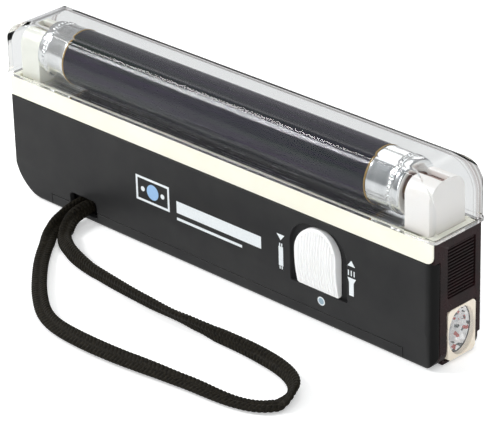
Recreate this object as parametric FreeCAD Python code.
"""Hand-held ultraviolet banknote checker with a torch, standing on its long narrow edge.

Own frame, millimetres: X runs along the case with the torch at +X, Y runs from the switch side (-Y)
to the back (+Y), Z is up.  The origin is the middle of the footprint, on the surface it stands on.
"""
import FreeCAD, Part
import math
import os

os.makedirs("parts", exist_ok=True)

# ---------------------------------------------------------------- case
LENGTH = 160.0
THICKNESS = 19.2
SHELL_TOP = 31.2          # top of the black shells, where the cream band starts
BAND_TOP = 37.3           # top of the cream band, where the clear cover starts
COVER_TOP = 54.8
WALL = 1.6
GAP = 0.15                # play between neighbouring pieces
HALF_X = LENGTH / 2
HALF_Y = THICKNESS / 2
HEEL_RADIUS = 12.0        # big lower corner at the end without the torch
TOE_RADIUS = 4.5          # lower corner at the torch end
EDGE_RADIUS = 3.0         # upright front corner at the torch end
CORNER_RADIUS = 0.8       # the other upright corners
SOLE_RADIUS = 1.3         # long edges of the sole
CREASE_Z = 12.0           # below this line the front leans back
CREASE_SETBACK = 0.7
PARTING_Y = 0.6           # front and rear shells meet here
LIP_START = -65.2         # the rear shell wraps under and shows as a low lip in front
LIP_END = 69.5
LIP_TOP = 3.7
SEAM = 0.3                # shadow groove under the cream band

# ---------------------------------------------------------------- clear cover
COVER_OVERHANG = 0.5
COVER_WALL = 1.25
COVER_END_RADIUS = 9.0
COVER_EDGE_RADIUS = 3.2   # along the top
COVER_CORNER_RADIUS = 1.0  # upright
COVER_RIM = 1.1
COVER_RIM_PROUD = 0.3
COVER_TAB = (5.0, 0.65, 1.6)  # drawn down from the inner half of the wall
COVER_TAB_X = (-73.5, 72.2)   # beside the lampholders, clear of the lamp

# ---------------------------------------------------------------- lamp
LAMP_X = -1.5
LAMP_Z = 45.3
TUBE_RADIUS = 7.75
TUBE_WALL = 0.8
TUBE_LENGTH = 135.9       # over the two cap faces of a 4 W T5 lamp
CAP_LENGTH = 10.8
CAP_WALL = 0.35
CAP_LIP = 1.6
PIN_RADIUS = 1.18
PIN_SPACING = 4.75
PIN_LENGTH = 7.1
ROTOR_RADIUS = 4.1
ROTOR_BORE = 4.2
HOLDER_HALF_WIDTH = 6.6
HOLDER_TOP = 50.8
HOLDER_LEFT = (-77.3, -69.75)
HOLDER_RIGHT = (68.0, 76.4)
HOLDER_BACK = 0.6
TRAY_FLOOR = (34.7, 36.0)
BAND_WALL = 2.2
BAND_SKIN = 0.55          # all that is left of the band in front of the torch housing
BAND_TOE_RADIUS = 2.4

# ---------------------------------------------------------------- switch
SWITCH_X = 40.4
SWITCH_WIDTH = 14.8
SWITCH_BOTTOM = 10.35
SWITCH_TOP = 28.2
SWITCH_TRAVEL = 2.4       # each way from the middle, which is off
SWITCH_CREST = (-10.9, 18.0)  # furthest point of the pad's bowed face
SWITCH_RIB_RISE = 0.35
RECESS_DEPTH = 1.2
RECESS_MARGIN = 0.4
STEM = (4.0, 3.4)
STEM_Z = 19.6

# ---------------------------------------------------------------- torch end
END_PLATE = 2.4
HOUSING_REACH = 3.4       # of the housing's upper part, over the shells
HOUSING_STEP = (1.4, 5.4)  # rebate at the bottom of its rear edge
LEDGE_X = (76.55, 78.9)   # cream ledge of the tray, let into the top of the housing
LEDGE_Z = (36.3, 37.25)
LEDGE_HALF_WIDTH = 8.3
END_SEAM_Y = -6.7
WINDOW_Y = (-3.6, 7.4)
WINDOW_Z = (0.9, 15.8)
WINDOW_RADIUS = 1.6
TORCH_Y = sum(WINDOW_Y) / 2
TORCH_Z = sum(WINDOW_Z) / 2
TORCH_HALF_WIDTH = 5.15
TORCH_HALF_HEIGHT = 6.8
TORCH_FLANGE = 0.2
GRILLE_Y = (-3.8, 7.0)
GRILLE_Z = (19.5, 34.2)
GRILLE_DEPTH = 0.8
GRILLE_RIBS = 16
CHAMBER_BACK = 66.6
CHAMBER_SIDE = WINDOW_Y[0] - 1.1
BULB_X = 63.4

# ---------------------------------------------------------------- batteries
CELL_RADIUS = 7.1
CELL_BODY = 49.0
CELL_NUB = (2.7, 1.2)
CELL_Y = 0.1
CELL_ROWS = (11.5, 26.0)
CELL_START = -74.6
BAY_END = 30.6            # wall between the cells and the electronics
SPRING_LENGTH = 3.4
DOOR_END = 27.0
DOOR_Z = (5.4, 29.4)
DOOR_THICKNESS = 1.5
DOOR_TONGUE = 0.7
BAY_BACK = 7.4            # nothing behind this comes nearer to the cells
SCREWS = [(35.2, 6.4), (63.6, 21.0)]
SCREW_SHANK = 1.1
SCREW_HEAD = (2.3, 0.7)
SCREW_LENGTH = 8.5
BOSS_RADIUS = 2.3

# ---------------------------------------------------------------- electronics
BOARD_X = (33.0, 60.5)
BOARD_Y = (2.4, 4.0)
BOARD_Z = (3.0, 32.6)
WIRE_RADIUS = 0.55

# ---------------------------------------------------------------- wrist strap
STRAP_WIDTH = 4.8
STRAP_SLOT_X = (-57.1, -46.1)
STRAP_SLOT_Z = (1.9, 7.25)
STRAP_BAR_Y = (-7.0, -6.0)
STRAP_ROUTE = [
    (-54.4, -7.0, 4.6), (-54.4, -11.4, 4.6), (-55.6, -15.8, 3.8), (-54.4, -21.0, 2.8),
    (-50.4, -27.4, 2.5), (-42.4, -34.4, 2.5), (-34.6, -42.0, 2.5), (-25.4, -50.4, 2.5),
    (-13.2, -57.8, 2.5), (3.0, -60.4, 2.5), (21.0, -60.0, 2.5), (38.6, -57.8, 2.5),
    (53.2, -56.8, 2.5), (62.2, -53.6, 2.5), (64.8, -47.2, 2.5), (62.4, -40.0, 2.5),
    (54.2, -35.6, 2.5), (40.6, -34.2, 2.5), (22.6, -35.0, 2.5), (2.0, -34.9, 2.5),
    (-16.4, -33.0, 2.5), (-31.6, -30.8, 2.5), (-41.8, -26.6, 2.5), (-47.6, -22.0, 2.7),
    (-49.8, -16.6, 3.6), (-48.8, -11.4, 4.6), (-48.8, -7.0, 4.6),
]

AXIS_X = FreeCAD.Vector(1, 0, 0)
AXIS_Y = FreeCAD.Vector(0, 1, 0)
AXIS_Z = FreeCAD.Vector(0, 0, 1)


# ================================================================ helpers
def vec(x, y, z):
    return FreeCAD.Vector(x, y, z)


def box(x, y, z):
    """Box from three (low, high) pairs."""
    return Part.makeBox(x[1] - x[0], y[1] - y[0], z[1] - z[0], vec(x[0], y[0], z[0]))


def rod(radius, start, length, axis):
    return Part.makeCylinder(radius, length, start, axis)


def fuse(pieces):
    pieces = list(pieces)
    return pieces[0].multiFuse(pieces[1:]).removeSplitter()


def cut(base, tools):
    for tool in tools:
        base = base.cut(tool)
    return base


def outline(corners, place):
    """Closed wire through (u, v, radius) corners; place turns (u, v) into a point in space."""
    edges = []
    previous_end = None
    first_start = None
    count = len(corners)
    for index, (u, v, radius) in enumerate(corners):
        corner = vec(u, v, 0)
        before = vec(*corners[index - 1][:2], 0)
        after = vec(*corners[(index + 1) % count][:2], 0)
        to_before = (before - corner).normalize()
        to_after = (after - corner).normalize()
        half = to_before.getAngle(to_after) / 2
        reach = radius / math.tan(half)
        start = corner + to_before * reach
        end = corner + to_after * reach
        if previous_end is not None and (start - previous_end).Length > 1e-7:
            edges.append(Part.LineSegment(place(previous_end), place(start)).toShape())
        if radius > 0:
            inward = (to_before + to_after).normalize()
            middle = corner + inward * (radius / math.sin(half) - radius)
            edges.append(Part.Arc(place(start), place(middle), place(end)).toShape())
        first_start = start if first_start is None else first_start
        previous_end = end
    if (first_start - previous_end).Length > 1e-7:
        edges.append(Part.LineSegment(place(previous_end), place(first_start)).toShape())
    return Part.Wire(edges)


def prism(axis, corners, low, high):
    """Extrude an outline along X, Y or Z between two heights."""
    places = {
        "X": lambda p: vec(low, p.x, p.y),
        "Y": lambda p: vec(p.x, low, p.y),
        "Z": lambda p: vec(p.x, p.y, low),
    }
    directions = {"X": AXIS_X, "Y": AXIS_Y, "Z": AXIS_Z}
    face = Part.Face(outline(corners, places[axis]))
    return face.extrude(directions[axis] * (high - low))


def rectangle(u, v, radii=(0, 0, 0, 0)):
    """Corners of a rectangle: low-low, high-low, high-high, low-high."""
    return [(u[0], v[0], radii[0]), (u[1], v[0], radii[1]), (u[1], v[1], radii[2]), (u[0], v[1], radii[3])]


def triple(side, plan, section):
    """Common volume of three prisms: a block rounded on every side it is seen from."""
    return side.common(plan).common(section)


def inner(radius, inset):
    return max(radius - inset, 0.3)


def wire_run(points, radius):
    """Tube along straight runs joined by tangent arcs; returns the solid, its path length, its radii."""
    points = [vec(*point) for point in points]
    edges = []
    radii = []
    here = points[0]
    for before, corner, after in zip(points, points[1:], points[2:]):
        to_before = (before - corner).normalize()
        to_after = (after - corner).normalize()
        reach = 0.45 * min((before - corner).Length, (after - corner).Length)
        half = to_before.getAngle(to_after) / 2
        bend = reach * math.tan(half)
        start = corner + to_before * reach
        end = corner + to_after * reach
        middle = corner + (to_before + to_after).normalize() * (bend / math.sin(half) - bend)
        edges.append(Part.LineSegment(here, start).toShape())
        edges.append(Part.Arc(start, middle, end).toShape())
        radii.append(bend)
        here = end
    edges.append(Part.LineSegment(here, points[-1]).toShape())
    path = Part.Wire(edges)
    profile = Part.Wire([Part.Circle(points[0], points[1] - points[0], radius).toShape()])
    tube = path.makePipeShell([profile], True, False)
    return tube, path.Length, radii


def report_run(name, tube, length, radii, radius):
    section = math.pi * radius ** 2
    print(name, "length %.1f" % length, "volume ratio %.3f" % (tube.Volume / (section * length)),
          "valid", tube.isValid(), "radii", " ".join("%.1f" % value for value in radii))


def save(name, shape):
    """Write one node; a fused piece keeps its solids together in one file."""
    solids = shape.Solids
    shape = solids[0] if len(solids) == 1 else Part.makeCompound(solids)
    if not shape.isValid():
        print("INVALID", name)
    shape.exportStep("parts/%s.step" % name)
    box_ = shape.BoundBox
    print("%-22s solids %d  x %.1f..%.1f  y %.1f..%.1f  z %.1f..%.1f" % (
        name, len(solids), box_.XMin, box_.XMax, box_.YMin, box_.YMax, box_.ZMin, box_.ZMax))


# ================================================================ case
def case_block(inset, top):
    """The shells' outer shape, or their cavity when inset by the wall."""
    x = (-HALF_X + inset, HALF_X - inset)
    y = (-HALF_Y + inset, HALF_Y - inset)
    heel = inner(HEEL_RADIUS, inset)
    toe = inner(TOE_RADIUS, inset)
    edge = inner(EDGE_RADIUS, inset)
    corner = inner(CORNER_RADIUS, inset)
    sole = inner(SOLE_RADIUS, inset)
    side = prism("Y", rectangle(x, (inset, top), (heel, toe, 0, 0)), -HALF_Y, HALF_Y)
    plan = prism("Z", rectangle(x, y, (corner, edge, corner, corner)), 0, top)
    section_corners = [
        (y[0] + CREASE_SETBACK, inset, sole), (y[1], inset, sole), (y[1], top, 0), (y[0], top, 0),
        (y[0], CREASE_Z, 0),
    ]
    section = prism("X", section_corners, -HALF_X, HALF_X)
    return triple(side, plan, section)


def switch_recess(margin):
    """Arched pocket behind the switch pad; a negative margin gives the pad itself."""
    half = SWITCH_WIDTH / 2 + margin
    bottom = SWITCH_BOTTOM - min(margin, RECESS_MARGIN)
    top = SWITCH_TOP + min(margin, RECESS_MARGIN)
    crown = SWITCH_WIDTH / 2 - 0.2
    corners = rectangle((SWITCH_X - half, SWITCH_X + half), (bottom, top), (0.6, 0.6, crown, crown))
    return corners


def seam_groove():
    """Frame-shaped space that leaves a shadow line under the cream band."""
    outside = box((-HALF_X - 1, HALF_X + 1), (-HALF_Y - 1, HALF_Y + 1), (SHELL_TOP - SEAM, SHELL_TOP + 1))
    kept = box((-HALF_X + SEAM, HALF_X - SEAM), (-HALF_Y + SEAM, HALF_Y - SEAM), (0, SHELL_TOP + 2))
    return outside.cut(kept)


def front_shell():
    shell = case_block(0, SHELL_TOP)
    cavity = case_block(WALL, SHELL_TOP + 1).common(
        box((-HALF_X, HALF_X), (-HALF_Y, HALF_Y), (0, SHELL_TOP)))
    keep = box((-HALF_X, HALF_X), (-HALF_Y, PARTING_Y - GAP / 2), (0, SHELL_TOP))
    boss = box((SWITCH_X - 12, SWITCH_X + 12), (-HALF_Y + 0.8, -HALF_Y + RECESS_DEPTH + 1.3),
               (SWITCH_BOTTOM - 1.2, SHELL_TOP))
    shell = shell.cut(cavity.common(keep)).common(keep)
    shell = fuse([shell, boss])
    lip_space = box((LIP_START, LIP_END), (-HALF_Y, HALF_Y), (-1, LIP_TOP + GAP))
    end_space = box((HALF_X - END_PLATE - GAP, HALF_X + 1), (END_SEAM_Y - GAP, HALF_Y), (-1, SHELL_TOP + 1))
    pocket = prism("Y", switch_recess(SWITCH_TRAVEL + RECESS_MARGIN), -HALF_Y - 1, -HALF_Y + RECESS_DEPTH)
    slot_half = STEM[0] / 2 + SWITCH_TRAVEL + 0.3
    stem_slot = box((SWITCH_X - slot_half, SWITCH_X + slot_half), (-HALF_Y, -HALF_Y + 4),
                    (STEM_Z - STEM[1] / 2 - 0.3, STEM_Z + STEM[1] / 2 + 0.3))
    strap_slot = prism("Y", rectangle(STRAP_SLOT_X, (0, STRAP_SLOT_Z[1]), (0, 0, 1.5, 1.5)),
                       -HALF_Y - 1, -HALF_Y + WALL + 1)
    chamber_space = box((CHAMBER_BACK - 0.6, HALF_X), (CHAMBER_SIDE, HALF_Y), (-1, WINDOW_Z[1] + 2))
    shell = cut(shell, [lip_space, end_space, pocket, stem_slot, strap_slot, chamber_space, seam_groove()])
    bay_wall = box((BAY_END, BAY_END + 1.2), (-HALF_Y + RECESS_DEPTH + 0.3, PARTING_Y - GAP / 2),
                   (4.0, SHELL_TOP))
    bosses = [rod(BOSS_RADIUS, vec(x, -HALF_Y + 1, z), HALF_Y - 1 + PARTING_Y - GAP / 2, AXIS_Y)
              for x, z in SCREWS]
    holes = [rod(SCREW_SHANK, vec(x, screw_tip(), z), HALF_Y, AXIS_Y) for x, z in SCREWS]
    return cut(fuse([shell, bay_wall, *bosses]), holes)


def rear_shell():
    shell = case_block(0, SHELL_TOP)
    cavity = case_block(WALL, SHELL_TOP + 1).common(
        box((-HALF_X, HALF_X), (-HALF_Y, HALF_Y), (0, SHELL_TOP)))
    shell = shell.cut(cavity)
    back_half = box((-HALF_X, HALF_X), (PARTING_Y + GAP / 2, HALF_Y), (0, SHELL_TOP))
    lip = box((LIP_START + GAP, LIP_END - GAP), (-HALF_Y, PARTING_Y + GAP), (0, LIP_TOP))
    shell = fuse([shell.common(back_half), shell.common(lip)])
    end_space = box((HALF_X - END_PLATE - GAP, HALF_X + 1), (END_SEAM_Y - GAP, HALF_Y + 1),
                    (-1, SHELL_TOP + 1))
    chamber_space = box((CHAMBER_BACK - 0.6, HALF_X), (CHAMBER_SIDE, HALF_Y - WALL + 0.1),
                        (-1, WINDOW_Z[1] + 2))
    door_space = box((-HALF_X - 1, DOOR_END + GAP), (HALF_Y - DOOR_THICKNESS - GAP, HALF_Y + 1),
                     (DOOR_Z[0] - GAP, DOOR_Z[1] + GAP))
    tongue_space = box((-HALF_X - 1, DOOR_END + GAP), (HALF_Y - DOOR_THICKNESS - GAP, HALF_Y - 0.7),
                       (DOOR_Z[0] - DOOR_TONGUE - GAP, DOOR_Z[1] + DOOR_TONGUE + GAP))
    bay_space = box((-75.0, BAY_END - 1.6), (HALF_Y - WALL - 1, HALF_Y), (DOOR_Z[0] + 1.4, DOOR_Z[1] - 1.4))
    strap_slot = box(STRAP_SLOT_X, (-HALF_Y - 1, -HALF_Y + WALL + 1), (STRAP_SLOT_Z[0], LIP_TOP + 1))
    spaces = [end_space, chamber_space, door_space, tongue_space, bay_space, strap_slot, seam_groove()]
    shell = cut(shell, spaces)
    rails = [box((-76.6, DOOR_END + 2), (BAY_BACK, HALF_Y - DOOR_THICKNESS - GAP), (low, low + 1.2))
             for low in (DOOR_Z[0] - 1.6, DOOR_Z[1] + 0.6)]
    backing = box((DOOR_END + GAP, BAY_END + 3), (BAY_BACK, HALF_Y - WALL + 0.1), (4.0, SHELL_TOP))
    end_backing = box((-HALF_X + 1.4, -76.0), (BAY_BACK, HALF_Y - DOOR_THICKNESS - GAP), (13.0, SHELL_TOP))
    bay_wall = box((BAY_END, BAY_END + 1.2), (PARTING_Y + GAP / 2, HALF_Y - 1), (4.0, SHELL_TOP))
    hooks = [box((-HALF_X + WALL + 0.1, -HALF_X + WALL + 1.3), (-1.6, PARTING_Y + 2.4), (z, z + 3.6))
             for z in (14.0, 24.0)]
    hook_roots = [box((-HALF_X + WALL - 0.1, -HALF_X + WALL + 1.3), (PARTING_Y + 0.4, PARTING_Y + 2.4),
                      (z, z + 3.6)) for z in (14.0, 24.0)]
    bosses = [rod(BOSS_RADIUS, vec(x, PARTING_Y + GAP / 2, z), HALF_Y - 1 - PARTING_Y, AXIS_Y)
              for x, z in SCREWS]
    shell = fuse([shell, *rails, backing, end_backing, bay_wall, *hooks, *hook_roots, *bosses])
    bores = [rod(SCREW_SHANK + 0.1, vec(x, 0, z), HALF_Y, AXIS_Y) for x, z in SCREWS]
    sinks = [rod(SCREW_HEAD[0] + 0.2, vec(x, HALF_Y - SCREW_HEAD[1] - 0.2, z), 2, AXIS_Y) for x, z in SCREWS]
    return cut(shell, bores + sinks)


def battery_door():
    plate = box((-HALF_X, DOOR_END), (HALF_Y - DOOR_THICKNESS, HALF_Y), DOOR_Z)
    tongue = box((-HALF_X, DOOR_END), (HALF_Y - DOOR_THICKNESS, HALF_Y - 0.85),
                 (DOOR_Z[0] - DOOR_TONGUE, DOOR_Z[1] + DOOR_TONGUE))
    door = fuse([plate, tongue]).common(case_block(0, SHELL_TOP))
    dish = prism("Y", rectangle((8.0, 22.0), (11.4, 23.4), (5.5, 5.5, 5.5, 5.5)), HALF_Y - 0.6, HALF_Y + 1)
    grips = [box((x, x + 0.7), (HALF_Y - 0.7, HALF_Y - 0.15), (13.0, 21.8)) for x in (11, 13, 15, 17, 19)]
    return fuse([door.cut(dish), *grips])


def screw_tip():
    return HALF_Y - 0.2 - SCREW_HEAD[1] - SCREW_LENGTH


def case_screws():
    """Two identical self-tapping screws from the back into the front shell's bosses."""
    screws = []
    face = HALF_Y - 0.2
    for x, z in SCREWS:
        head = rod(SCREW_HEAD[0], vec(x, face - SCREW_HEAD[1], z), SCREW_HEAD[1], AXIS_Y)
        shank = rod(SCREW_SHANK, vec(x, screw_tip() + 0.1, z), SCREW_LENGTH, AXIS_Y)
        cross = [box((x - 1.3, x + 1.3), (face - 0.4, HALF_Y), (z - 0.25, z + 0.25)),
                 box((x - 0.25, x + 0.25), (face - 0.4, HALF_Y), (z - 1.3, z + 1.3))]
        screws.append(cut(fuse([head, shank]), cross))
    return Part.makeCompound(screws)


# ================================================================ lamp section
def lamp_tray():
    """Cream band round the case with the floor that carries the lampholders."""
    back_end = HALF_X - HOUSING_REACH - 0.2
    corners = (CORNER_RADIUS, 0.3, 0.3, CORNER_RADIUS)
    band = prism("Z", rectangle((-HALF_X, HALF_X), (-HALF_Y, HALF_Y), corners), SHELL_TOP, BAND_TOP)
    inside = rectangle((-HALF_X + BAND_WALL, HALF_X + 1), (-HALF_Y + BAND_WALL, HALF_Y - BAND_WALL),
                       (0.5, 0, 0, 0.5))
    band = band.cut(prism("Z", inside, SHELL_TOP - 1, BAND_TOP + 1))
    housing_space = box((HALF_X - HOUSING_REACH - GAP, HALF_X + 1), (-HALF_Y + BAND_SKIN, HALF_Y + 1),
                        (SHELL_TOP - 1, BAND_TOP + 1))
    toe = prism("Y", rectangle((-HALF_X, HALF_X), (SHELL_TOP, BAND_TOP), (0, BAND_TOE_RADIUS, 0, 0)),
                -HALF_Y, HALF_Y)
    floor = box((-HALF_X + 1, back_end), (-HALF_Y + 1, HALF_Y - 1), TRAY_FLOOR)
    slots = []
    for x in COVER_TAB_X:
        for side in (-1, 1):
            middle = side * (HALF_Y - COVER_WALL + COVER_TAB[1] / 2)
            slots.append(box((x - COVER_TAB[0] / 2 - 0.3, x + COVER_TAB[0] / 2 + 0.3),
                             (middle - COVER_TAB[1] / 2 - GAP, middle + COVER_TAB[1] / 2 + GAP),
                             (BAND_TOP - COVER_TAB[2] - 0.3, BAND_TOP + 1)))
    wire_holes = [box((x - 2.0, x + 2.0), (y - 1.4, y + 1.4), (TRAY_FLOOR[0] - 1, TRAY_FLOOR[1] + 1))
                  for x, y in ((-74.0, 4.8), (72.2, 0.0))]
    ledge = box(LEDGE_X, (-LEDGE_HALF_WIDTH, LEDGE_HALF_WIDTH), LEDGE_Z)
    arm_y = (HOLDER_HALF_WIDTH + 0.2, LEDGE_HALF_WIDTH)
    arms = [box((LEDGE_X[0] - 1.4, LEDGE_X[0] + 0.1), y, LEDGE_Z) for y in (arm_y, (-arm_y[1], -arm_y[0]))]
    tray = cut(fuse([band.common(toe).cut(housing_space), floor]), slots + wire_holes)
    return fuse([tray, ledge, *arms])


def reflector():
    """Thin bright trough that lies on the tray floor under the lamp."""
    half = HALF_Y - BAND_WALL - 0.3
    low = TRAY_FLOOR[1] + 0.05
    corners = [(-half, low + 1.1, 0), (-half + 0.5, low + 1.1, 0), (-half + 1.7, low + 0.4, 0),
               (half - 1.7, low + 0.4, 0), (half - 0.5, low + 1.1, 0), (half, low + 1.1, 0),
               (half - 1.5, low, 0), (-half + 1.5, low, 0)]
    return prism("X", corners, -68.8, 66.6)


def lampholder(span, face_side):
    """Rotary-lock holder; face_side is +1 when the lamp is on its +X side."""
    y = (-HOLDER_HALF_WIDTH, HOLDER_HALF_WIDTH)
    body = prism("X", rectangle(y, (TRAY_FLOOR[1] + 0.05, HOLDER_TOP), (0, 0, 4.6, 4.6)), span[0], span[1])
    depth = span[1] - span[0] - HOLDER_BACK
    start = span[1] - depth if face_side > 0 else span[0] - 1
    bore = rod(ROTOR_BORE, vec(start, 0, LAMP_Z), depth + 1, AXIS_X)
    entry = box((start, start + depth + 1), (-1.6, 1.6), (LAMP_Z, HOLDER_TOP + 1))
    seats = [box((start + 1.2, start + depth - 0.4), (side * 2.9 - 0.55, side * 2.9 + 0.55),
                 (TRAY_FLOOR[1], LAMP_Z - ROTOR_BORE + 1.6)) for side in (-1, 1)]
    return cut(body, [bore, entry, *seats])


def rotor(span, face_side):
    """Slotted disc that carries the lamp pins; at rest its slot lies across the holder's, which locks."""
    depth = 6.2
    start = span[1] - depth - 0.2 if face_side > 0 else span[0] + 0.2
    disc = rod(ROTOR_RADIUS, vec(start, 0, LAMP_Z), depth, AXIS_X)
    half_slot = PIN_RADIUS + 0.08
    slot = box((start - 1, start + depth + 1), (-PIN_SPACING / 2 - half_slot, ROTOR_RADIUS + 1),
               (LAMP_Z - half_slot, LAMP_Z + half_slot))
    return disc.cut(slot)


def holder_contacts():
    """Two bronze leaves in each holder, under the rotor, with their solder tails."""
    leaves = []
    for span, face_side in ((HOLDER_LEFT, 1), (HOLDER_RIGHT, -1)):
        depth = span[1] - span[0] - HOLDER_BACK
        start = span[1] - depth if face_side > 0 else span[0] - 1
        for side in (-1, 1):
            leaves.append(box((start + 1.6, start + depth - 0.8), (side * 2.9 - 0.2, side * 2.9 + 0.2),
                              (TRAY_FLOOR[1] + 0.2, LAMP_Z - ROTOR_BORE - 0.3)))
    return Part.makeCompound(leaves)


def tube_glass():
    low = LAMP_X - TUBE_LENGTH / 2 + 1.2
    length = TUBE_LENGTH - 2.4
    outer = TUBE_RADIUS - CAP_WALL - 0.02
    ends = rod(outer, vec(low, 0, LAMP_Z), length, AXIS_X)
    middle = rod(TUBE_RADIUS, vec(LAMP_X - TUBE_LENGTH / 2 + CAP_LENGTH, 0, LAMP_Z),
                 TUBE_LENGTH - 2 * CAP_LENGTH, AXIS_X)
    hollow = rod(outer - TUBE_WALL, vec(low + 1, 0, LAMP_Z), length - 2, AXIS_X)
    return fuse([ends, middle]).cut(hollow)


def tube_cap(side):
    """Aluminium cap crimped on one end of the lamp."""
    face = LAMP_X + side * TUBE_LENGTH / 2
    low = min(face, face - side * CAP_LENGTH)
    cap = rod(TUBE_RADIUS, vec(low, 0, LAMP_Z), CAP_LENGTH, AXIS_X)
    inside_low = low if side > 0 else low + CAP_WALL
    cap = cap.cut(rod(TUBE_RADIUS - CAP_WALL, vec(inside_low, 0, LAMP_Z), CAP_LENGTH - CAP_WALL, AXIS_X))
    window = rod(4.4, vec(face - 1, 0, LAMP_Z), 2, AXIS_X)
    return cap.cut(window)


def tube_end_discs():
    discs = []
    for side in (-1, 1):
        face = LAMP_X + side * TUBE_LENGTH / 2
        low = face - 1.1 if side > 0 else face + 0.0
        disc = rod(4.35, vec(low, 0, LAMP_Z), 1.1, AXIS_X)
        bores = [rod(PIN_RADIUS, vec(face - 3, step * PIN_SPACING / 2, LAMP_Z), 6, AXIS_X)
                 for step in (-1, 1)]
        discs.append(cut(disc, bores))
    return Part.makeCompound(discs)


def tube_pins():
    pins = []
    for side in (-1, 1):
        face = LAMP_X + side * TUBE_LENGTH / 2
        low = face - 1.1 if side > 0 else face - PIN_LENGTH
        for step in (-1, 1):
            pins.append(rod(PIN_RADIUS, vec(low, step * PIN_SPACING / 2, LAMP_Z), PIN_LENGTH + 1.1, AXIS_X))
    return Part.makeCompound(pins)


def cathodes():
    """Filament with its two stems at each end inside the glass."""
    pieces = []
    for side in (-1, 1):
        seal = LAMP_X + side * (TUBE_LENGTH / 2 - 2.3)
        coil = seal - side * 10
        span = (min(seal, coil), max(seal, coil))
        stems = [box(span, (step * 2.0 - 0.3, step * 2.0 + 0.3), (LAMP_Z - 0.3, LAMP_Z + 0.3))
                 for step in (-1, 1)]
        filament = rod(0.7, vec(coil, -2.8, LAMP_Z), 5.6, AXIS_Y)
        pieces.append(fuse([*stems, filament]))
    return Part.makeCompound(pieces)


def clear_cover():
    def block(inset, bottom):
        x = (-HALF_X - COVER_OVERHANG + inset, HALF_X + COVER_OVERHANG - inset)
        y = (-HALF_Y + inset, HALF_Y - inset)
        top = COVER_TOP - inset
        ends = inner(COVER_END_RADIUS, inset)
        edge = inner(COVER_EDGE_RADIUS, inset)
        corner = inner(COVER_CORNER_RADIUS, inset)
        side = prism("Y", rectangle(x, (bottom, top), (0, 0, ends, ends)), -HALF_Y, HALF_Y)
        plan = prism("Z", rectangle(x, y, (corner,) * 4), bottom, top)
        section = prism("X", rectangle(y, (bottom, top), (0, 0, edge, edge)), x[0], x[1])
        return triple(side, plan, section)

    bottom = BAND_TOP + 0.05
    x = HALF_X + COVER_OVERHANG + COVER_RIM_PROUD
    y = HALF_Y + COVER_RIM_PROUD
    rim_corner = COVER_CORNER_RADIUS + COVER_RIM_PROUD
    rim = prism("Z", rectangle((-x, x), (-y, y), (rim_corner,) * 4), bottom, bottom + COVER_RIM)
    shell = fuse([block(0, bottom), rim]).cut(block(COVER_WALL, bottom - 1))
    tabs = []
    for x in COVER_TAB_X:
        for side in (-1, 1):
            middle = side * (HALF_Y - COVER_WALL + COVER_TAB[1] / 2)
            tabs.append(box((x - COVER_TAB[0] / 2, x + COVER_TAB[0] / 2),
                            (middle - COVER_TAB[1] / 2, middle + COVER_TAB[1] / 2),
                            (BAND_TOP - COVER_TAB[2], bottom + 1.0)))
    return fuse([shell, *tabs])


# ================================================================ switch
def bowed_block(rise):
    """Block as wide as the pad whose front bows out; rise moves that face outwards."""
    back = -HALF_Y + RECESS_DEPTH - 0.1
    low = vec(SWITCH_X - SWITCH_WIDTH, -HALF_Y - 0.1 - rise, SWITCH_BOTTOM)
    crest = vec(low.x, SWITCH_CREST[0] - rise, SWITCH_CREST[1])
    high = vec(low.x, -HALF_Y - 0.3 - rise, SWITCH_TOP)
    back_high = vec(low.x, back, SWITCH_TOP)
    back_low = vec(low.x, back, SWITCH_BOTTOM)
    edges = [Part.Arc(low, crest, high).toShape()]
    for start, end in ((high, back_high), (back_high, back_low), (back_low, low)):
        edges.append(Part.LineSegment(start, end).toShape())
    return Part.Face(Part.Wire(edges)).extrude(vec(2 * SWITCH_WIDTH, 0, 0))


def switch_pad():
    """Arched white slide pad with a bowed face and fine upright grip ribs."""
    arch = prism("Y", switch_recess(0), -HALF_Y - 3, -HALF_Y + 2)
    pad = bowed_block(0).common(arch)
    ribbed = bowed_block(SWITCH_RIB_RISE)
    pitch = 1.0
    count = 13
    reach = SWITCH_WIDTH / 2 - 0.7
    ribs = []
    for index in range(count):
        x = SWITCH_X + (index - (count - 1) / 2) * pitch
        rise = math.sqrt(max(reach ** 2 - (x - SWITCH_X) ** 2, 0))
        top = SWITCH_TOP - SWITCH_WIDTH / 2 + rise - 0.1
        bar = box((x - 0.27, x + 0.27), (-HALF_Y - 3, -HALF_Y), (SWITCH_BOTTOM + 0.8, top))
        ribs.append(ribbed.common(bar))
    back = -HALF_Y + RECESS_DEPTH - 0.1
    stem = box((SWITCH_X - STEM[0] / 2, SWITCH_X + STEM[0] / 2), (back - 0.2, -5.4),
               (STEM_Z - STEM[1] / 2, STEM_Z + STEM[1] / 2))
    fork = box((SWITCH_X - 1.3, SWITCH_X + 1.3), (-6.6, -5.0), (STEM_Z - 1.1, STEM_Z + 1.1))
    return fuse([pad, *ribs, stem]).cut(fork)


def switch_lever():
    """Lever of the slide switch, held in the fork of the pad's stem."""
    return box((SWITCH_X - 1.2, SWITCH_X + 1.2), (-6.5, -2.6), (STEM_Z - 1.0, STEM_Z + 1.0))


def slide_switch():
    """Metal-cased three-position slide switch on the circuit board."""
    case = box((SWITCH_X - 6.5, SWITCH_X + 6.5), (-4.9, BOARD_Y[0] - 0.05), (STEM_Z - 3.4, STEM_Z + 3.4))
    half = 1.2 + SWITCH_TRAVEL + 0.3
    window = box((SWITCH_X - half, SWITCH_X + half), (-6, -2.3), (STEM_Z - 1.3, STEM_Z + 1.3))
    return case.cut(window)


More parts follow.
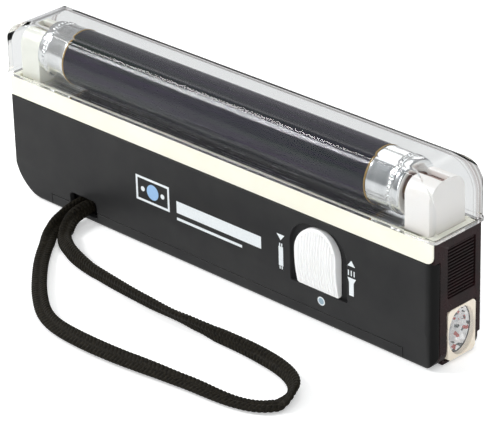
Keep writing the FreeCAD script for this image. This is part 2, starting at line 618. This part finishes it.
# ================================================================ electronics
def circuit_board():
    board = box(BOARD_X, BOARD_Y, BOARD_Z)
    corner = box((BOARD_X[0] - 1, SCREWS[0][0] + 2.9), (BOARD_Y[0] - 1, BOARD_Y[1] + 1),
                 (0, SCREWS[0][1] + 2.9))
    holes = [rod(1.2, vec(x, BOARD_Y[0] - 1, z), 4, AXIS_Y) for x, z in ((45.0, 30.4), (48.5, 5.6))]
    return cut(board, [corner, *holes])


def transformer_core():
    front = -5.4
    frame = box((50.4, 59.8), (front, BOARD_Y[0] - 0.9), (17.6, 29.4))
    windows = [box((51.9, 58.3), (front - 1, BOARD_Y[0]), (z, z + 2.7)) for z in (19.2, 25.1)]
    return cut(frame, windows)


def transformer_winding():
    coil = box((51.95, 58.25), (-6.9, BOARD_Y[0] - 0.05), (19.25, 27.75))
    leg = box((50.3, 59.9), (-5.5, BOARD_Y[0] - 0.8), (21.85, 25.15))
    return coil.cut(leg)


def capacitor():
    return rod(2.5, vec(36.2, BOARD_Y[0] - 0.05, 29.0), 7.4, AXIS_Y * -1)


def transistor():
    body = box((52.0, 59.6), (-0.4, BOARD_Y[0] - 0.05), (4.0, 12.6))
    return body.cut(rod(1.5, vec(55.8, -2, 10.2), 8, AXIS_Y))


def resistors():
    pieces = []
    for z in (6.4, 9.6):
        pieces.append(rod(1.1, vec(38.4, BOARD_Y[0] - 1.2, z), 6.2, AXIS_X))
    return Part.makeCompound(pieces)


# ================================================================ batteries
def cell_places():
    """Start of each cell's body and the side that its button points to."""
    pitch = CELL_BODY + CELL_NUB[1]
    lower, upper = CELL_ROWS
    return [
        (CELL_START + SPRING_LENGTH, lower, 1), (CELL_START + SPRING_LENGTH + pitch, lower, 1),
        (CELL_START + CELL_NUB[1], upper, -1), (CELL_START + CELL_NUB[1] + pitch, upper, -1),
    ]


def battery_cell(start, z, side):
    body = rod(CELL_RADIUS, vec(start, CELL_Y, z), CELL_BODY, AXIS_X)
    nub_radius, nub_length = CELL_NUB
    nub_start = start + CELL_BODY if side > 0 else start - nub_length
    return fuse([body, rod(nub_radius, vec(nub_start, CELL_Y, z), nub_length, AXIS_X)])


def contact_spring(start, z, side, length):
    """Conical spring drawn as three rings that bear on each other."""
    steps = 3
    depth = length / steps
    rings = []
    for index in range(steps):
        radius = 4.6 - index * 0.9
        low = start + side * index * depth
        low = low if side > 0 else low - depth
        ring = rod(radius, vec(low, CELL_Y, z), depth, AXIS_X)
        rings.append(ring.cut(rod(radius - 1.4, vec(low - 1, CELL_Y, z), depth + 2, AXIS_X)))
    return fuse(rings)


def battery_springs():
    lower, upper = CELL_ROWS
    upper_end = CELL_START + CELL_NUB[1] + 2 * CELL_BODY + CELL_NUB[1]
    return Part.makeCompound([
        contact_spring(CELL_START, lower, 1, SPRING_LENGTH),
        contact_spring(contact_plane(), upper, -1, contact_plane() - upper_end),
    ])


def contact_plane():
    """Face of the contact plates at the electronics end, where the lower row's button bears."""
    return CELL_START + SPRING_LENGTH + 2 * (CELL_BODY + CELL_NUB[1])


def battery_contacts():
    lower, upper = CELL_ROWS
    half = 5.2
    plane = contact_plane()
    bridge = box((CELL_START - 0.5, CELL_START), (CELL_Y - half, CELL_Y + half), (lower - half, upper + half))
    ends = [box((plane, plane + 0.5), (CELL_Y - half, CELL_Y + half), (z - half, z + half))
            for z in (lower, upper)]
    return Part.makeCompound([bridge, *ends])


# ================================================================ torch
def oval(half_width, half_height, x):
    """Upright ellipse round the torch axis at the given x."""
    ellipse = Part.Ellipse(vec(x, TORCH_Y, TORCH_Z + half_height), vec(x, TORCH_Y + half_width, TORCH_Z),
                           vec(x, TORCH_Y, TORCH_Z))
    return Part.Wire([ellipse.toShape()])


def oval_prism(half_width, half_height, low, high):
    return Part.Face(oval(half_width, half_height, low)).extrude(vec(high - low, 0, 0))


def cup(offset, low, high):
    """Solid of revolution-like oval paraboloid between two x positions."""
    steps = 5
    wires = []
    for index in range(steps + 1):
        share = index / steps
        spread = 0.52 + 0.48 * math.sqrt(share)
        wires.append(oval(TORCH_HALF_WIDTH * spread + offset, TORCH_HALF_HEIGHT * spread + offset,
                          low + (high - low) * share))
    return Part.makeLoft(wires, True, True)


def torch_housing():
    plate_x = (HALF_X - END_PLATE, HALF_X)
    reach_x = (HALF_X - HOUSING_REACH, HALF_X)
    lower = case_block(0, BAND_TOP).common(box(plate_x, (END_SEAM_Y, HALF_Y), (0, SHELL_TOP)))
    upper = prism("Z", rectangle(reach_x, (-HALF_Y + BAND_SKIN + 0.05, HALF_Y), (0, 0.3, CORNER_RADIUS, 0)),
                  SHELL_TOP, BAND_TOP)
    step = box(reach_x, (END_SEAM_Y, BAY_BACK), (SHELL_TOP - 1.2, SHELL_TOP + 0.5))
    chamber = box((CHAMBER_BACK, plate_x[1] - 1), (WINDOW_Y[0] - 0.9, WINDOW_Y[1] + 0.4),
                  (WINDOW_Z[0] - 0.75, WINDOW_Z[1] + 1.0))
    room = box((CHAMBER_BACK - 1, HALF_X), (WINDOW_Y[0] - 0.3, WINDOW_Y[1] - 0.1),
               (WINDOW_Z[0] + 0.1, WINDOW_Z[1] - 0.1))
    window = prism("X", rectangle(WINDOW_Y, WINDOW_Z, (WINDOW_RADIUS,) * 4), HALF_X - 1.7, HALF_X + 1)
    recess = prism("X", rectangle(GRILLE_Y, GRILLE_Z, (0.5,) * 4), HALF_X - GRILLE_DEPTH, HALF_X + 1)
    rebate = box((reach_x[0] - 1, HALF_X + 1), (HALF_Y - HOUSING_STEP[0], HALF_Y + 1), (-1, HOUSING_STEP[1]))
    ledge_space = box((reach_x[0] - 1, LEDGE_X[1] + GAP), (-LEDGE_HALF_WIDTH - GAP, LEDGE_HALF_WIDTH + GAP),
                      (LEDGE_Z[0] - GAP, BAND_TOP + 1))
    housing = cut(fuse([lower, upper, step, chamber]), [room, window, recess, rebate, ledge_space])
    pitch = (GRILLE_Z[1] - GRILLE_Z[0]) / GRILLE_RIBS
    ribs = [box((HALF_X - GRILLE_DEPTH - 0.2, HALF_X - 0.25), (GRILLE_Y[0] + 0.3, GRILLE_Y[1] - 0.3),
                (GRILLE_Z[0] + (index + 0.25) * pitch, GRILLE_Z[0] + (index + 0.75) * pitch))
            for index in range(GRILLE_RIBS)]
    return fuse([housing, *ribs])


def torch_bezel():
    y = (WINDOW_Y[0] + 0.1, WINDOW_Y[1] - 0.1)
    z = (WINDOW_Z[0] + 0.1, WINDOW_Z[1] - 0.1)
    frame = prism("X", rectangle(y, z, (WINDOW_RADIUS - 0.1,) * 4), HALF_X - 1.6, HALF_X)
    return frame.cut(oval_prism(TORCH_HALF_WIDTH + 0.05, TORCH_HALF_HEIGHT + 0.05, HALF_X - 3, HALF_X + 2))


def torch_reflector():
    low = HALF_X - 11.0
    high = HALF_X - 1.75
    shell = cup(0.0, low, high)
    flange = oval_prism(TORCH_HALF_WIDTH + TORCH_FLANGE, TORCH_HALF_HEIGHT + TORCH_FLANGE, high - 0.6, high)
    hollow = cup(-0.7, low - 0.01, high + 0.01)
    mouth = oval_prism(TORCH_HALF_WIDTH - 0.7, TORCH_HALF_HEIGHT - 0.7, high - 0.7, high + 1)
    return cut(fuse([shell, flange]), [hollow, mouth])


def torch_lens():
    return oval_prism(TORCH_HALF_WIDTH, TORCH_HALF_HEIGHT, HALF_X - 1.55, HALF_X - 0.3)


def torch_bulb():
    """Glass envelope; its screw base is a piece of its own."""
    start = BULB_X + 5.6
    stem = rod(1.5, vec(start, TORCH_Y, TORCH_Z), 3.0, AXIS_X)
    ball = Part.makeSphere(1.9, vec(start + 3.6, TORCH_Y, TORCH_Z))
    return fuse([stem, ball])


def torch_bulb_base():
    base = rod(1.7, vec(BULB_X, TORCH_Y, TORCH_Z), 5.5, AXIS_X)
    tip = rod(0.8, vec(BULB_X - 0.6, TORCH_Y, TORCH_Z), 0.7, AXIS_X)
    return fuse([base, tip])


def torch_socket():
    block = box((BULB_X - 1.6, CHAMBER_BACK - 0.1), (TORCH_Y - 3.4, TORCH_Y + 3.4),
                (TORCH_Z - 4.2, TORCH_Z + 4.2))
    bore = rod(1.78, vec(BULB_X - 0.05, TORCH_Y, TORCH_Z), 8, AXIS_X)
    tip_bore = rod(0.9, vec(BULB_X - 0.7, TORCH_Y, TORCH_Z), 1, AXIS_X)
    return cut(block, [bore, tip_bore])


# ================================================================ strap and wires
def strap_bar():
    """Steel bar behind the slot; the two ends of the strap are fixed to it."""
    return box((STRAP_SLOT_X[0] - 1.2, STRAP_SLOT_X[1] + 1.2), STRAP_BAR_Y, (1.65, 6.4))


def internal_wires():
    """Insulated leads, each held by the pieces it joins."""
    under_tray = TRAY_FLOOR[0] - 1.0
    bay_face = BAY_END + 1.2 + WIRE_RADIUS
    socket_face = BULB_X - 1.6 - WIRE_RADIUS
    return {
        "wire_battery": [(bay_face + 0.1, 0.1, 19.5), (bay_face + 0.5, 0.0, 15.6),
                         (bay_face + 3.4, 0.9, 12.8), (bay_face + 7.2, 1.7, 12.6)],
        "wire_lamp_left": [(-74.0, 4.8, TRAY_FLOOR[1]), (-74.0, 5.0, under_tray - 0.4),
                           (-67.0, 5.8, under_tray - 1.1), (-42.0, 6.0, under_tray - 1.4),
                           (-6.0, 5.7, under_tray - 1.2),
                           (20.0, 5.9, under_tray - 1.4), (34.0, 5.8, under_tray - 1.7), (39.0, 5.0, 28.6)],
        "wire_lamp_right": [(72.2, 0.0, TRAY_FLOOR[1]), (72.2, 0.2, under_tray - 1.4), (67.0, 2.4, 29.5),
                            (60.0, 5.0, 28.6), (54.0, 5.1, 26.6)],
        "wire_torch": [(socket_face - 0.1, TORCH_Y, TORCH_Z + 2.6), (59.4, TORCH_Y - 1.6, 14.6),
                       (56.6, -1.5, 15.0), (52.0, 0.8, 15.2), (48.2, 1.7, 14.8)],
    }


# ================================================================ output
def main():
    save("front_shell", front_shell())
    save("rear_shell", rear_shell())
    save("battery_door", battery_door())
    save("case_screws", case_screws())
    save("lamp_tray", lamp_tray())
    save("reflector", reflector())
    save("lampholder_left", lampholder(HOLDER_LEFT, 1))
    save("lampholder_right", lampholder(HOLDER_RIGHT, -1))
    save("rotor_left", rotor(HOLDER_LEFT, 1))
    save("rotor_right", rotor(HOLDER_RIGHT, -1))
    save("holder_contacts", holder_contacts())
    save("tube_glass", tube_glass())
    save("tube_cap_left", tube_cap(-1))
    save("tube_cap_right", tube_cap(1))
    save("tube_end_discs", tube_end_discs())
    save("tube_pins", tube_pins())
    save("cathodes", cathodes())
    save("clear_cover", clear_cover())
    save("switch_pad", switch_pad())
    save("switch_lever", switch_lever())
    save("slide_switch", slide_switch())
    save("circuit_board", circuit_board())
    save("transformer_core", transformer_core())
    save("transformer_winding", transformer_winding())
    save("capacitor", capacitor())
    save("transistor", transistor())
    save("resistors", resistors())
    for index, place in enumerate(cell_places(), start=1):
        save("battery_cell_%d" % index, battery_cell(*place))
    save("battery_springs", battery_springs())
    save("battery_contacts", battery_contacts())
    save("torch_housing", torch_housing())
    save("torch_bezel", torch_bezel())
    save("torch_reflector", torch_reflector())
    save("torch_lens", torch_lens())
    save("torch_bulb", torch_bulb())
    save("torch_bulb_base", torch_bulb_base())
    save("torch_socket", torch_socket())
    save("strap_bar", strap_bar())
    for name, points in internal_wires().items():
        tube, length, radii = wire_run(points, WIRE_RADIUS)
        report_run(name, tube, length, radii, WIRE_RADIUS)
        save(name, tube)
    tube, length, radii = wire_run(STRAP_ROUTE, STRAP_WIDTH / 2)
    report_run("wrist_strap", tube, length, radii, STRAP_WIDTH / 2)
    save("wrist_strap", tube)


main()
